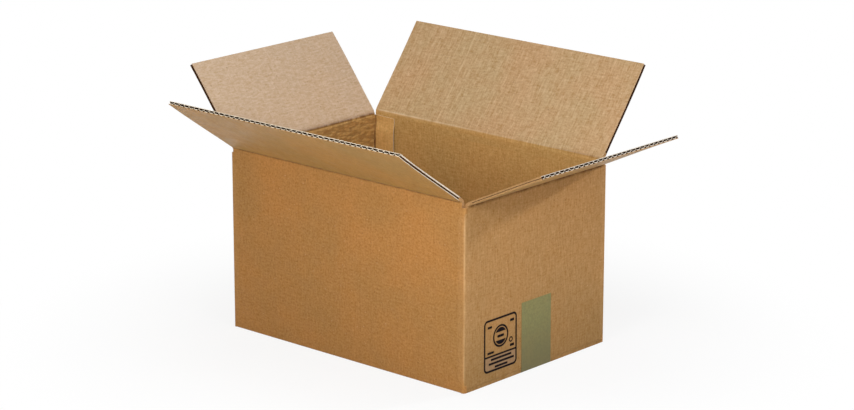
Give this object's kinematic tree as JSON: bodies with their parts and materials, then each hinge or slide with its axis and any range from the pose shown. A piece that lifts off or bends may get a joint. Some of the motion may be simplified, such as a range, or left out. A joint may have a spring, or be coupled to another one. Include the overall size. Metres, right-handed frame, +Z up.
{
  "type": "open corrugated cardboard shipping box",
  "caption": "Open kraft cardboard shipping box with raised hinged top flaps, an inside glue tab and a taped bottom.",
  "frame": {"origin": "centre of the box's base, on the surface that it stands on", "axes": "+X along the long side towards the end with the printed frame, +Y towards the back, +Z up"},
  "size_m": [0.5191, 0.4084, 0.3091],
  "materials": {
    "board": "matte kraft board",
    "tape": "thin see-through packing tape"
  },
  "bodies": {
    "box": {"box_body": "board", "bottom_tape": "tape"},
    "front_flap": {"front_flap": "board"},
    "right_flap": {"right_flap": "board"},
    "back_flap": {"back_flap": "board"},
    "left_flap": {"left_flap": "board"}
  },
  "joints": [
    {"name": "front_fold", "type": "hinge", "parent": "box", "child": "front_flap", "pos_m": [0, -0.12015, 0.212], "axis": [1, 0, 0], "range_deg": [-145, 120]},
    {"name": "right_fold", "type": "hinge", "parent": "box", "child": "right_flap", "pos_m": [0.17515, 0, 0.2077], "axis": [0, 1, 0], "range_deg": [-155, 110]},
    {"name": "back_fold", "type": "hinge", "parent": "box", "child": "back_flap", "pos_m": [0, 0.12015, 0.212], "axis": [-1, 0, 0], "range_deg": [-127, 138]},
    {"name": "left_fold", "type": "hinge", "parent": "box", "child": "left_flap", "pos_m": [-0.17515, 0, 0.2077], "axis": [0, -1, 0], "range_deg": [-128, 137]}
  ]
}
